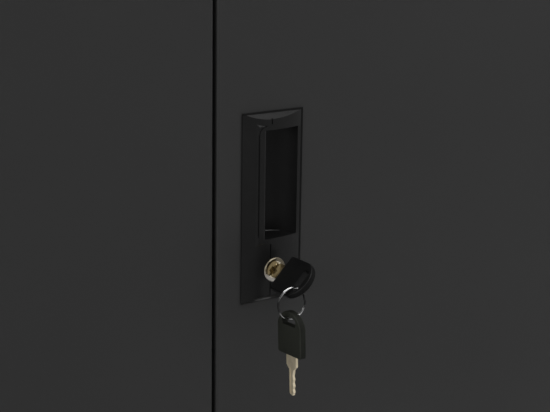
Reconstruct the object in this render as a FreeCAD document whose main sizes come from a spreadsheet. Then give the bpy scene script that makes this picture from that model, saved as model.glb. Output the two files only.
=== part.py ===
import FreeCAD, Part
import os
import re
import Sketcher

# Steel office cabinet with two hinged doors, a recessed pull plate, a rod lock and its keys.
# Millimetres. The floor is z = 0, the doors face -y, and the seam between the doors is x = 0.

sizes = {
    # carcass
    "cabinet_width": 900,
    "cabinet_depth": 400,
    "cabinet_height": 1400,
    "sheet": 0.8,
    "sheet_play": 0.1,
    "frame_edge_radius": 1.5,
    "foot_height": 6,
    "foot_radius": 20,
    "foot_stem_radius": 4,
    "foot_inset": 45,
    "foot_stem": 6,
    "plinth_height": 60,
    "plinth_return": 55,
    "top_rail_height": 30,
    "rail_return": 30,
    "side_flange": 25,
    "flange_setback": 5,
    "stile_width": 20,
    "stile_return": 20,
    "rear_flange": 18,
    "back_side_inset": 1,
    "back_bottom_inset": 4,
    "back_top_inset": 2,
    "wall_hole_radius": 3.5,
    "wall_hole_spacing": 600,
    "wall_hole_drop": 60,
    "back_screw_radius": 2,
    "back_screw_head_radius": 3.8,
    "back_screw_head": 1.6,
    "back_screw_reach": 3,
    "back_screw_end": 90,
    # shelves
    "upright_width": 25,
    "upright_thickness": 2,
    "front_upright_setback": 45,
    "rear_upright_setback": 30,
    "slot_height": 4,
    "slot_width": 15,
    "shelf_flange": 25,
    "shelf_lip": 12,
    "shelf_setback": 36,
    "shelf_back_gap": 8,
    "shelf_end_gap": 2.2,
    "clip_plate": 1.6,
    "clip_ledge": 16,
    "clip_width": 14,
    "clip_rise": 18,
    "clip_ledge_thickness": 2,
    "clip_tongue_drop": 6,
    # doors
    "seam_gap": 3,
    "door_side_gap": 2.5,
    "door_end_gap": 2.5,
    "door_depth": 18,
    "door_edge_radius": 2,
    "door_lip": 12,
    "stiffener_offset": 92,
    "stiffener_width": 60,
    "stiffener_foot": 12,
    "stiffener_end_gap": 10,
    "pivot_inset": 14,
    "pivot_depth": 7,
    "pin_radius": 3,
    "pin_head_radius": 5,
    "pin_head": 2.5,
    "pin_reach": 16,
    "bush_radius": 5,
    "bush_flange_radius": 6,
    "bush_length": 14,
    "running_clearance": 0.05,
    "seat_gap": 0.2,
    "stop_offset": 240,
    "stop_width": 24,
    "stop_drop": 13,
    "stop_thickness": 1.5,
    "stop_foot": 10,
    "buffer_thickness": 2.6,
    "buffer_width": 14,
    "buffer_height": 8,
    "buffer_inset": 1,
    # pull plate
    "plate_width": 50.6,
    "plate_height": 138,
    "plate_seam_offset": 21.3,
    "plate_centre_height": 720,
    "plate_edge": 1,
    "shadow_gap": 0.6,
    "shadow_depth": 1,
    "ridge_height": 6,
    "ridge_offset": 4,
    "top_hip": 4.8,
    "bottom_hip": 5.2,
    "crease_width": 0.8,
    "crease_depth": 0.7,
    "crease_stop": 4,
    "recess_left": 7.8,
    "recess_right": 20.2,
    "recess_top": 56.5,
    "recess_bottom": 22,
    "recess_depth": 13.4,
    "recess_floor_end": -2,
    "recess_foot_round": 0.8,
    "recess_rim_radius": 2.4,
    "cup_wall": 1.5,
    "cup_play": 0.4,
    "bead_offset": 14.2,
    "bead_run": 4.6,
    "bead_lift": 3,
    "bead_fall": 3,
    "bead_foot": 3.5,
    "bead_drop": 0.1,
    "bead_corner": 6,
    "bead_end_gap": 0.5,
    "groove_radius": 0.45,
    "groove_depth": 0.8,
    "plate_screw_side": 17.5,
    "plate_screw_rise": 56,
    "plate_screw_drop": 57,
    "plate_screw_radius": 1.5,
    "plate_screw_head_radius": 3,
    "plate_screw_head": 2,
    "plate_screw_reach": 3,
    # lock
    "lock_drop": 45.6,
    "lock_face_height": 6.4,
    "lock_face_radius": 9,
    "lock_face_thickness": 2.4,
    "lock_face_bevel": 0.7,
    "lock_body_radius": 8,
    "lock_body_reach": 16,
    "lock_play": 0.1,
    "nut_radius": 12.5,
    "nut_thickness": 4,
    "plug_radius": 6.4,
    "plug_recess": 0.3,
    "plug_stand": 1,
    "plug_tail": 5,
    "cam_radius": 12,
    "cam_pin_radius": 2,
    "cam_pin_proud": 1,
    "cam_hub_radius": 6.5,
    "cam_eye_radius": 4.25,
    "cam_thickness": 2,
    "cam_gap": 0.4,
    "cam_screw_head_radius": 3.3,
    "cam_screw_head": 2,
    "cam_screw_radius": 1.5,
    "cam_screw_reach": 1.6,
    # lock rods and slide bolts
    "rod_width": 14,
    "rod_thickness": 3,
    "rod_inset": 3.8,
    "rod_tail": 9,
    "rod_end_gap": 1,
    "rod_gap": 0.4,
    "rod_slot_play": 0.6,
    "strike_play": 1,
    "guide_play": 0.2,
    "guide_wall": 2.5,
    "guide_height": 10,
    "guide_station": 330,
    "guide_end_gap": 1,
    "guide_foot": 10,
    "bolt_foot": 8,
    "bolt_offset": 32,
    "bolt_knob_gap": 1.5,
    "bolt_knob_radius": 4,
    "bolt_knob_height": 9,
    "bolt_travel": 10,
    "bolt_housing_length": 58,
    # keys
    "key_neck_width": 11.4,
    "key_neck": 7.7,
    "key_shoulder": 2.9,
    "key_sink": 1.4,
    "key_blade_width": 5.2,
    "key_blade": 19,
    "key_thickness": 1.9,
    "key_notch": 1.1,
    "key_tooth_inset": 0.3,
    "key_tip_bevel": 1.6,
    "key_groove": 1.2,
    "key_groove_shift": 0.9,
    "key_groove_depth": 0.4,
    "keyway_play": 0.2,
    "keyway_end_play": 1,
    "mouth_width": 9.4,
    "mouth_side": 1.3,
    "well_side": 2.8,
    "well_low": 3.4,
    "well_high": 0.8,
    "well_depth": 4.5,
    "bow_width": 28,
    "bow_length": 32,
    "bow_thickness": 5.1,
    "bow_arch": 10.5,
    "bow_corner": 2.2,
    "bow_edge_radius": 0.9,
    "bow_slot_width": 17,
    "bow_slot_height": 6,
    "bow_slot_round": 1,
    "bow_bridge": 4.2,
    "bow_socket": 6,
    "ring_radius": 11.2,
    "wire_radius": 0.8,
    "ring_hang": 4.1,
    "ring_plane_offset": 1.4,
    "spare_key_hang": 1.3,
    "spare_key_lean": 3.5,
}

# Places worked out from the sizes, each written once and used by every piece that meets there.
places = {
    "half_width": "cabinet_width / 2",
    "front": "0 - cabinet_depth / 2",
    "back": "cabinet_depth / 2",
    "web_inside": "half_width - sheet",
    "stile_edge": "half_width - stile_width",
    "rail_end": "stile_edge - sheet_play",
    "flange_edge": "half_width - rear_flange - sheet_play",
    "deck_top": "foot_height + plinth_height",
    "rail_bottom": "cabinet_height - top_rail_height",
    "door_bottom": "deck_top + door_end_gap",
    "door_top": "rail_bottom - door_end_gap",
    "door_inner": "seam_gap / 2",
    "door_outer": "stile_edge - door_side_gap",
    "door_back": "front + door_depth",
    "pivot_x": "door_outer - pivot_inset",
    "pivot_y": "front + pivot_depth",
    "upright_face": "web_inside - upright_thickness",
    "shelf_end": "upright_face - shelf_end_gap",
    "shelf_pitch": "(rail_bottom - deck_top) / 20",
    "plate_x": "plate_seam_offset + plate_width / 2",
    "lock_z": "plate_centre_height - lock_drop",
    "lock_face": "front - lock_face_height",
    "plug_back": "front + lock_body_reach + plug_stand",
    "cam_front": "plug_back",
    "cam_back": "cam_front + cam_thickness",
    "rod_front": "cam_back + rod_gap",
    "rod_back": "rod_front + rod_thickness",
    "rod_inner": "rod_inset",
    "rod_outer": "rod_inset + rod_width",
    "rod_top": "rail_bottom - rod_end_gap",
    "rod_bottom": "deck_top + rod_end_gap",
    "bead_top": "ridge_height - bead_drop",
    "bow_start": "key_neck + key_shoulder - key_sink",
    "slot_centre": "bow_length - bow_bridge - bow_slot_height / 2",
    "ring_plane": "lock_face - bow_start - slot_centre + ring_plane_offset",
    "bridge_centre": "(bow_slot_width + bow_width) / 4",
    "bridge_x": "plate_x - bridge_centre * sqrt(0.5)",
    "bridge_z": "lock_z - bridge_centre * sqrt(0.5)",
    "ring_z": "bridge_z + ring_hang - ring_radius + wire_radius",
    "spare_pivot_z": "ring_z - ring_radius",
    "spare_drop": "bow_length - bow_bridge - spare_key_hang",
    "spare_bow_y": "ring_plane - spare_drop * sin(spare_key_lean)",
    "spare_bow_z": "spare_pivot_z - spare_drop * cos(spare_key_lean)",
}

document = FreeCAD.newDocument("SteelCabinet")
cells = document.addObject("Spreadsheet::Sheet", "Sizes")
for row, (name, size) in enumerate(sizes.items(), start=1):
    cells.set(f"A{row}", name)
    cells.set(f"B{row}", str(size))
    cells.setAlias(f"B{row}", name)
document.recompute()
probe = document.addObject("App::FeaturePython", "Probe")
probe.addProperty("App::PropertyFloat", "Reading")


def bound(text):
    """The text with each named place spelled out and each size tied to its cell."""

    def spell(match):
        word = match.group(0)
        if word in places:
            return "(" + bound(places[word]) + ")"
        if word in sizes:
            return "Sizes." + word
        return word

    return re.sub(r"[a-z_][a-z_0-9]*", spell, str(text))


def reading(text):
    """The number a text of sizes and places comes to."""
    probe.setExpression("Reading", bound(text))
    probe.recompute()
    return probe.Reading


def both_ways(text):
    """A span from minus a place to plus that place."""
    return (f"0 - ({text})", text)


def block(name, x, y, z):
    """A box between two places on each axis."""
    piece = document.addObject("Part::Box", name)
    for size, axis, (low, high) in (("Length", "x", x), ("Width", "y", y), ("Height", "z", z)):
        piece.setExpression(size, bound(f"({high}) - ({low})"))
        piece.setExpression("Placement.Base." + axis, bound(low))
    return piece


turns = {
    "x": FreeCAD.Rotation(FreeCAD.Vector(0, 1, 0), 90),
    "y": FreeCAD.Rotation(FreeCAD.Vector(1, 0, 0), -90),
    "z": FreeCAD.Rotation(),
}


def post(name, axis, at, radius, span):
    """A round bar along one axis; at gives its place on the two other axes, in x, y, z order."""
    piece = document.addObject("Part::Cylinder", name)
    piece.Placement = FreeCAD.Placement(FreeCAD.Vector(), turns[axis])
    piece.setExpression("Radius", bound(radius))
    piece.setExpression("Height", bound(f"({span[1]}) - ({span[0]})"))
    piece.setExpression("Placement.Base." + axis, bound(span[0]))
    for letter, place in zip([letter for letter in "xyz" if letter != axis], at):
        piece.setExpression("Placement.Base." + letter, bound(place))
    return piece


def join(name, pieces):
    """One solid made of touching pieces."""
    result = document.addObject("Part::MultiFuse", name)
    result.Shapes = pieces
    result.Refine = True
    return result


def group(name, pieces):
    """Separate solids kept side by side."""
    result = document.addObject("Part::Compound", name)
    result.Links = pieces
    return result


def cut(name, base, tools):
    """The base with every tool taken out of it."""
    result = document.addObject("Part::Cut", name)
    result.Base = base
    result.Tool = tools[0] if len(tools) == 1 else group(name + "_tools", tools)
    result.Refine = True
    return result


def mirrored(name, piece):
    """The same piece on the other side of the seam plane."""
    result = document.addObject("Part::Mirroring", name)
    result.Source = piece
    result.Normal = FreeCAD.Vector(1, 0, 0)
    return result


def lies_at(edge, axis, place):
    """Whether every end of an edge sits at one place on an axis."""
    return all(abs(getattr(end.Point, axis) - place) < 0.001 for end in edge.Vertexes)


def rounded(name, piece, radius, wanted):
    """The piece with the wanted edges rounded."""
    document.recompute()
    size = reading(radius)
    result = document.addObject("Part::Fillet", name)
    result.Base = piece
    numbered = enumerate(piece.Shape.Edges, start=1)
    result.Edges = [(number, size, size) for number, edge in numbered if wanted(edge)]
    return result


def plane(body, role):
    """One of a body's own origin planes."""
    return next(item for item in body.Origin.OriginFeatures if item.Role == role)


def drawing(body, name, role, offset="0"):
    """An empty sketch on one of the body's origin planes."""
    sketch = body.newObject("Sketcher::SketchObject", name)
    sketch.AttachmentSupport = [(plane(body, role), "")]
    sketch.MapMode = "FlatFace"
    sketch.setExpression("AttachmentOffset.Base.z", bound(offset))
    return sketch


def tie(sketch, kind, element, end, text):
    """Tie one end of a sketch element to the origin by a bound distance."""
    number = sketch.addConstraint(Sketcher.Constraint(kind, -1, 1, element, end, reading(text)))
    sketch.setExpression(f"Constraints[{number}]", bound(text))


def outline(sketch, corners, arcs=None, closed=True, hollow=None):
    """A line through bound corners; arcs gives a bound radius for the sides that bulge, hollow one that bends in."""
    arcs = arcs or {}
    first = sketch.GeometryCount
    count = len(corners)
    sides = count if closed else count - 1
    spots = [FreeCAD.Vector(reading(u), reading(v), 0) for u, v in corners]
    for side in range(sides):
        start = spots[side]
        finish = spots[(side + 1) % count]
        if side in arcs:
            radius = reading(arcs[side])
            chord = finish - start
            aside = FreeCAD.Vector(-chord.y, chord.x, 0).normalize()
            rise = radius - (radius ** 2 - (chord.Length / 2) ** 2) ** 0.5
            middle = (start + finish) * 0.5
            if side == hollow:
                arc = Part.Arc(finish, middle + aside * rise, start)
            else:
                arc = Part.Arc(start, middle - aside * rise, finish)
            sketch.addGeometry(arc, False)
        else:
            sketch.addGeometry(Part.LineSegment(start, finish), False)
    ends = {}
    for side in range(sides):
        curve = sketch.Geometry[first + side]
        turned = (curve.StartPoint - spots[side]).Length > 0.0001
        ends[side] = (2, 1) if turned else (1, 2)
    for side in range(count if closed else sides - 1):
        after = (side + 1) % count
        joint = Sketcher.Constraint("Coincident", first + side, ends[side][1], first + after, ends[after][0])
        sketch.addConstraint(joint)
    for number, (u, v) in enumerate(corners):
        side = min(number, sides - 1)
        end = ends[side][number - side]
        tie(sketch, "DistanceX", first + side, end, u)
        tie(sketch, "DistanceY", first + side, end, v)
    for side, radius in arcs.items():
        number = sketch.addConstraint(Sketcher.Constraint("Radius", first + side, reading(radius)))
        sketch.setExpression(f"Constraints[{number}]", bound(radius))


def circle(sketch, u, v, radius):
    """A circle at a bound place."""
    centre = FreeCAD.Vector(reading(u), reading(v), 0)
    element = sketch.addGeometry(Part.Circle(centre, FreeCAD.Vector(0, 0, 1), reading(radius)), False)
    tie(sketch, "DistanceX", element, 3, u)
    tie(sketch, "DistanceY", element, 3, v)
    number = sketch.addConstraint(Sketcher.Constraint("Radius", element, reading(radius)))
    sketch.setExpression(f"Constraints[{number}]", bound(radius))


def extrude(body, kind, name, sketch, length, symmetric=False, backwards=False):
    """A pad or pocket of a sketch by a bound length."""
    feature = body.newObject("PartDesign::" + kind, name)
    feature.Profile = sketch
    feature.setExpression("Length", bound(length))
    if symmetric:
        feature.SideType = "Symmetric"
    feature.Reversed = backwards
    sketch.Visibility = False
    return feature


def follow(body, kind, name, profile, path):
    """A pipe of one sketch along another."""
    document.recompute()
    feature = body.newObject("PartDesign::" + kind, name)
    feature.Profile = profile
    feature.Spine = (path, [f"Edge{number}" for number in range(1, len(path.Shape.Edges) + 1)])
    for sketch in (profile, path):
        sketch.Visibility = False
    return feature


def soften(body, name, feature, wanted, radius):
    """Round the wanted edges of a body's last feature."""
    document.recompute()
    numbered = enumerate(feature.Shape.Edges, start=1)
    fillet = body.newObject("PartDesign::Fillet", name)
    fillet.Base = (feature, [f"Edge{number}" for number, edge in numbered if wanted(edge)])
    fillet.setExpression("Radius", bound(radius))
    document.recompute()
    return fillet


def placed(piece, x, y, z, turn=None):
    """Put a piece drawn about its own origin at a bound place."""
    piece.Placement = FreeCAD.Placement(FreeCAD.Vector(), turn or FreeCAD.Rotation())
    for axis, place in (("x", x), ("y", y), ("z", z)):
        piece.setExpression("Placement.Base." + axis, bound(place))
    return piece


nodes = []


def finished(piece):
    """Keep a piece for the list of handed-over solids."""
    nodes.append(piece)
    return piece


# Back panel screw places, shared by the panel, the side flanges and the screws.
back_screw_x = "half_width - rear_flange / 2"
back_screw_z = [
    f"back_screw_end + {step} * (cabinet_height - 2 * back_screw_end) / 4"
    for step in range(5)
]


def side_panel():
    """Left side: web, front stile with its return, and rear flange, folded from one sheet."""
    z = ("foot_height", "cabinet_height - sheet - sheet_play")
    left = "0 - half_width"
    pieces = [
        block("side_web", (left, f"{left} + sheet"), ("front", "back - sheet"), z),
        block("side_stile", (left, f"{left} + stile_width"), ("front", "front + sheet"), z),
        block("side_return", (f"{left} + stile_width - sheet", f"{left} + stile_width"),
              ("front", "front + stile_return"), z),
        block("side_flange", (left, f"{left} + rear_flange"), ("back - 2 * sheet", "back - sheet"), z),
    ]
    folded = join("side_folded", pieces)
    front = reading("front")
    corners = [reading(left), reading(f"{left} + stile_width")]

    def fold(edge):
        return lies_at(edge, "y", front) and any(lies_at(edge, "x", corner) for corner in corners)

    softened = rounded("side_softened", folded, "frame_edge_radius", fold)
    holes = [
        post(f"side_screw_hole_{number}", "y", (f"0 - ({back_screw_x})", height),
             "back_screw_radius + running_clearance", ("back - 3 * sheet", "back"))
        for number, height in enumerate(back_screw_z)
    ]
    return cut("left_side_panel", softened, holes)


left_side = finished(side_panel())
finished(mirrored("right_side_panel", left_side))


def back_panel():
    """Back sheet with two wall fixing holes near its top."""
    plate = block("back_sheet", both_ways("half_width - back_side_inset"), ("back - sheet", "back"),
                  ("foot_height + back_bottom_inset", "cabinet_height - back_top_inset"))
    through = ("back - 2 * sheet", "back + sheet")
    tools = []
    for side in ("0 - ", ""):
        tools.append(post("wall_hole", "y", (f"{side}wall_hole_spacing / 2", "cabinet_height - wall_hole_drop"),
                          "wall_hole_radius", through))
        for height in back_screw_z:
            tools.append(post("back_screw_hole", "y", (f"{side}({back_screw_x})", height),
                              "back_screw_radius + running_clearance", through))
    return cut("back_panel", plate, tools)


finished(back_panel())


def back_screws():
    """Ten pan head screws through the back sheet and the side flanges."""
    screws = []
    for side in ("0 - ", ""):
        for height in back_screw_z:
            at = (f"{side}({back_screw_x})", height)
            head = post("back_screw_head", "y", at, "back_screw_head_radius", ("back", "back + back_screw_head"))
            shank = post("back_screw_shank", "y", at, "back_screw_radius", ("back - 2 * sheet - back_screw_reach", "back"))
            screws.append(join("back_screw", [head, shank]))
    return group("back_panel_screws", screws)


finished(back_screws())


def strike_slots(low, high):
    """Slots that take the two lock rods and the slide bolt of the left door, for one end of the cabinet."""
    y = ("rod_front - strike_play", "rod_back + strike_play")
    spans = {
        "bolt_strike": ("0 - bolt_offset - rod_width / 2", "0 - bolt_offset + rod_width / 2"),
        "upper_rod_strike": ("plate_x + rod_inner", "plate_x + rod_outer"),
        "lower_rod_strike": ("plate_x - rod_outer", "plate_x - rod_inner"),
    }
    wanted = ["bolt_strike", "upper_rod_strike" if "rail" in low else "lower_rod_strike"]
    return [
        block(name, (f"{spans[name][0]} - strike_play", f"{spans[name][1]} + strike_play"), y, (low, high))
        for name in wanted
    ]


def pin_holes(low, high):
    """Two hinge pin holes, left and right."""
    return [
        post("pin_hole", "z", (f"{side}pivot_x", "pivot_y"), "pin_radius + running_clearance", (low, high))
        for side in ("0 - ", "")
    ]


def top_panel():
    """Lid with side and rear flanges, and a front rail whose return carries the upper hinge pins."""
    z_flange = ("cabinet_height - side_flange", "cabinet_height")
    y_flange = ("front + stile_return + flange_setback", "back - rear_flange")
    inner = "web_inside - sheet_play"
    pieces = [
        block("top_web", both_ways("half_width"), ("front", "back - sheet"),
              ("cabinet_height - sheet", "cabinet_height")),
        block("top_rail", both_ways("rail_end"), ("front", "front + sheet"), ("rail_bottom", "cabinet_height")),
        block("top_return", both_ways("rail_end"), ("front", "front + rail_return"),
              ("rail_bottom", "rail_bottom + sheet")),
        block("top_rear_flange", both_ways("flange_edge"), ("back - 2 * sheet", "back - sheet"), z_flange),
        block("top_left_flange", (f"0 - ({inner})", f"0 - ({inner}) + sheet"), y_flange, z_flange),
        block("top_right_flange", (f"{inner} - sheet", inner), y_flange, z_flange),
    ]
    folded = join("top_folded", pieces)
    front = reading("front")
    heights = [reading("cabinet_height"), reading("rail_bottom")]

    def fold(edge):
        return lies_at(edge, "y", front) and any(lies_at(edge, "z", height) for height in heights)

    softened = rounded("top_softened", folded, "frame_edge_radius", fold)
    span = ("rail_bottom - sheet", "rail_bottom + 2 * sheet")
    return cut("top_panel", softened, pin_holes(*span) + strike_slots(*span))


finished(top_panel())

# Foot places: one near each corner, over the plinth return and the rear return.
foot_places = [
    (f"{side}(half_width - foot_inset)", y)
    for side in ("0 - ", "")
    for y in ("front + plinth_return / 2", "back - plinth_return / 2")
]


def bottom_panel():
    """Deck with a flush plinth in front, a rear flange, and a return under each for the feet."""
    inner = "web_inside - sheet_play"
    z_flange = ("deck_top - side_flange", "deck_top")
    z_return = ("foot_height", "foot_height + sheet")
    z_high = ("foot_height", "deck_top")
    y_flange = ("front + stile_return + flange_setback", "back - rear_flange")
    pieces = [
        block("deck_web", both_ways(inner), ("front", "back - sheet"), ("deck_top - sheet", "deck_top")),
        block("plinth", both_ways("rail_end"), ("front", "front + sheet"), z_high),
        block("plinth_fold", both_ways("rail_end"), ("front", "front + plinth_return"), z_return),
        block("deck_rear", both_ways("flange_edge"), ("back - 2 * sheet", "back - sheet"), z_high),
        block("deck_rear_fold", both_ways("flange_edge"), ("back - plinth_return", "back - sheet"), z_return),
        block("deck_left_flange", (f"0 - ({inner})", f"0 - ({inner}) + sheet"), y_flange, z_flange),
        block("deck_right_flange", (f"{inner} - sheet", inner), y_flange, z_flange),
    ]
    folded = join("deck_folded", pieces)
    span = ("deck_top - 2 * sheet", "deck_top + sheet")
    tools = pin_holes(*span) + strike_slots(*span)
    y_front = ("front - sheet", "front + stile_return + sheet_play")
    y_rear = ("back - 2 * sheet - sheet_play", "back")
    for y, edge in ((y_front, "rail_end"), (y_rear, "flange_edge")):
        tools.append(block("deck_notch", ("0 - half_width", f"0 - ({edge})"), y, span))
        tools.append(block("deck_notch", (edge, "half_width"), y, span))
    for at in foot_places:
        tools.append(post("foot_hole", "z", at, "foot_stem_radius + lock_play",
                          ("foot_height - sheet", "foot_height + 2 * sheet")))
    notched = cut("deck_notched", folded, tools)
    front = reading("front")
    heights = [reading("deck_top"), reading("foot_height")]

    def fold(edge):
        return lies_at(edge, "y", front) and any(lies_at(edge, "z", height) for height in heights)

    return rounded("bottom_panel", notched, "frame_edge_radius", fold)


finished(bottom_panel())


def foot_glides():
    """Four plastic glides pressed into the returns under the cabinet."""
    glides = []
    for at in foot_places:
        pad = post("glide_pad", "z", at, "foot_radius", ("0", "foot_height"))
        stem = post("glide_stem", "z", at, "foot_stem_radius", ("foot_height", "foot_height + foot_stem"))
        glides.append(join("glide", [pad, stem]))
    return group("foot_glides", glides)


finished(foot_glides())

# Shelf levels: every fifth slot of the uprights.
shelf_levels = {"lower": 5, "middle": 10, "upper": 15}
upright_spans = {
    "front": ("front + front_upright_setback", "front + front_upright_setback + upright_width"),
    "rear": ("back - rear_upright_setback - upright_width", "back - rear_upright_setback"),
}


def upright(name, y):
    """Slotted strip on the inside of the left side panel."""
    x = ("0 - web_inside", "0 - upright_face")
    strip = block(name + "_strip", x, y, ("deck_top", "rail_bottom"))
    middle = f"({y[0]} + {y[1]}) / 2"
    across = (f"{middle} - slot_width / 2", f"{middle} + slot_width / 2")
    slots = []
    for step in range(1, 20):
        centre = f"deck_top + {step} * shelf_pitch"
        slots.append(block(name + "_slot", ("0 - half_width", "0 - upright_face + upright_thickness"), across,
                           (f"{centre} - slot_height / 2", f"{centre} + slot_height / 2")))
    return cut(name, strip, slots)


for end, span in upright_spans.items():
    left_upright = finished(upright(f"{end}_left_upright", span))
    finished(mirrored(f"{end}_right_upright", left_upright))

# The clip tongue sits in its slot and the ledge carries the shelf's folded lip.
tongue_rise = "clip_rise - clip_tongue_drop"


def shelf(name, step):
    """Shelf folded down on four sides with inward lips."""
    bottom = f"deck_top + {step} * shelf_pitch - ({tongue_rise})"
    top = f"{bottom} + shelf_flange"
    y = ("front + shelf_setback", "back - shelf_back_gap")
    outer = block(name + "_outer", both_ways("shelf_end"), y, (bottom, top))
    inner = block(name + "_inner", both_ways("shelf_end - sheet"),
                  (f"{y[0]} + sheet", f"{y[1]} - sheet"), (f"{bottom} + sheet", f"{top} - sheet"))
    mouth = block(name + "_mouth", both_ways("shelf_end - shelf_lip"),
                  (f"{y[0]} + shelf_lip", f"{y[1]} - shelf_lip"), (f"{bottom} - sheet", f"{bottom} + 2 * sheet"))
    return cut(name, outer, [join(name + "_hollow", [inner, mouth])])


def shelf_clips(name, step):
    """Four clips hooked into the uprights under one shelf."""
    clips = []
    slot = f"deck_top + {step} * shelf_pitch"
    bottom = f"{slot} - ({tongue_rise})"
    under = f"{bottom} - clip_ledge_thickness"
    for side in (-1, 1):
        for span in upright_spans.values():
            middle = f"({span[0]} + {span[1]}) / 2"
            y = (f"{middle} - clip_width / 2", f"{middle} + clip_width / 2")
            spans = {
                "plate": (("upright_face - clip_plate", "upright_face"), (under, f"{bottom} + clip_rise")),
                "ledge": (("upright_face - clip_ledge", "upright_face"), (under, bottom)),
                "tongue": (("upright_face - clip_plate", "web_inside - seat_gap"),
                           (f"{slot} - slot_height / 2 + seat_gap", f"{slot} + slot_height / 2 - seat_gap")),
            }
            pieces = []
            for part, (x, z) in spans.items():
                reach = x if side > 0 else (f"0 - ({x[1]})", f"0 - ({x[0]})")
                pieces.append(block(f"{name}_{part}", reach, y, z))
            clips.append(join(name + "_clip", pieces))
    return group(name, clips)


for level, step in shelf_levels.items():
    finished(shelf(f"{level}_shelf", step))
    finished(shelf_clips(f"{level}_shelf_clips", step))


def hinge_pins():
    """Four headed pins: two hang from the top rail return, two stand up through the deck."""
    pins = []
    for side in ("0 - ", ""):
        at = (f"{side}pivot_x", "pivot_y")
        upper_head = post("upper_pin_head", "z", at, "pin_head_radius",
                          ("rail_bottom + sheet", "rail_bottom + sheet + pin_head"))
        upper = post("upper_pin", "z", at, "pin_radius", ("door_top - pin_reach", "rail_bottom + sheet"))
        lower_head = post("lower_pin_head", "z", at, "pin_head_radius",
                          ("deck_top - sheet - pin_head", "deck_top - sheet"))
        lower = post("lower_pin", "z", at, "pin_radius", ("deck_top - sheet", "door_bottom + pin_reach"))
        pins.append(join("upper_hinge_pin", [upper_head, upper]))
        pins.append(join("lower_hinge_pin", [lower_head, lower]))
    return group("hinge_pins", pins)


finished(hinge_pins())


def door_stops():
    """Small angles under the rail return, one behind each door."""
    stops = []
    buffers = []
    face = "door_back + seat_gap + buffer_thickness"
    for side in ("0 - ", ""):
        centre = f"{side}stop_offset"
        x = (f"{centre} - stop_width / 2", f"{centre} + stop_width / 2")
        x_buffer = (f"{centre} - buffer_width / 2", f"{centre} + buffer_width / 2")
        low = "rail_bottom - stop_drop"
        drop = block("stop_drop_leg", x, (face, f"{face} + stop_thickness"), (low, "rail_bottom"))
        foot = block("stop_foot", x, (face, f"{face} + stop_foot"), ("rail_bottom - stop_thickness", "rail_bottom"))
        stops.append(join("stop", [drop, foot]))
        buffers.append(block("buffer", x_buffer, ("door_back + seat_gap", face),
                             (f"{low} + buffer_inset", f"{low} + buffer_inset + buffer_height")))
    return group("door_stops", stops), group("door_buffers", buffers)


for piece in door_stops():
    finished(piece)


def door_pan(name):
    """Right door skin folded back on four sides with inward lips."""
    x = ("door_inner", "door_outer")
    y = ("front", "door_back")
    z = ("door_bottom", "door_top")
    outer = block(name + "_outer", x, y, z)
    inner = block(name + "_inner", ("door_inner + sheet", "door_outer - sheet"),
                  ("front + sheet", "door_back - sheet"), ("door_bottom + sheet", "door_top - sheet"))
    mouth = block(name + "_mouth", ("door_inner + door_lip", "door_outer - door_lip"),
                  ("door_back - 2 * sheet", "door_back + sheet"),
                  ("door_bottom + door_lip", "door_top - door_lip"))
    front = reading("front")
    skin = reading("front + sheet")
    outside = rounded(name + "_outside", outer, "door_edge_radius", lambda edge: lies_at(edge, "y", front))
    inside = rounded(name + "_inside", inner, "door_edge_radius - sheet", lambda edge: lies_at(edge, "y", skin))
    return cut(name, outside, [join(name + "_hollow", [inside, mouth])])


def bush_holes():
    """Holes for the hinge bushes in the right door's top and bottom folds."""
    holes = []
    for low in ("door_bottom", "door_top - sheet"):
        holes.append(post("bush_hole", "z", ("pivot_x", "pivot_y"), "bush_radius + running_clearance",
                          (f"{low} - sheet", f"{low} + 2 * sheet")))
    return holes


plate_screw_places = [
    ("plate_x - plate_screw_side", "plate_centre_height + plate_screw_rise"),
    ("plate_x + plate_screw_side", "plate_centre_height - plate_screw_drop"),
]

pan = door_pan("door_pan")
left_pan = cut("left_door_bored", pan, bush_holes())
finished(mirrored("left_door_panel", left_pan))
lock_opening = post("lock_opening", "y", ("plate_x", "lock_z"), "lock_body_radius + lock_play",
                    ("front - sheet", "front + 2 * sheet"))
cup_opening = block("cup_opening",
                    ("plate_x - recess_left - cup_wall - cup_play", "plate_x + recess_right + cup_wall + cup_play"),
                    ("front - sheet", "front + 2 * sheet"),
                    ("plate_centre_height - recess_bottom - cup_wall - cup_play",
                     "plate_centre_height + recess_top + cup_wall + cup_play"))
screw_openings = [
    post("plate_screw_opening", "y", at, "plate_screw_radius + lock_play", ("front - sheet", "front + 2 * sheet"))
    for at in plate_screw_places
]
finished(cut("right_door_panel", pan, bush_holes() + [lock_opening, cup_opening] + screw_openings))


def stiffener(name):
    """Hat section down the inside of the right door."""
    near = "stiffener_offset"
    far = "stiffener_offset + stiffener_width"
    wall_near = f"{near} + stiffener_foot"
    wall_far = f"{far} - stiffener_foot"
    z = ("door_bottom + door_lip + stiffener_end_gap", "door_top - door_lip - stiffener_end_gap")
    y_foot = ("front + sheet", "front + 2 * sheet")
    y_wall = ("front + sheet", "door_back")
    pieces = [
        block(name + "_near_foot", (near, f"{wall_near} + sheet"), y_foot, z),
        block(name + "_near_wall", (wall_near, f"{wall_near} + sheet"), y_wall, z),
        block(name + "_crown", (wall_near, wall_far), ("door_back - sheet", "door_back"), z),
        block(name + "_far_wall", (f"{wall_far} - sheet", wall_far), y_wall, z),
        block(name + "_far_foot", (f"{wall_far} - sheet", far), y_foot, z),
    ]
    return join(name, pieces)


right_stiffener = finished(stiffener("right_door_stiffener"))
finished(mirrored("left_door_stiffener", right_stiffener))


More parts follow.
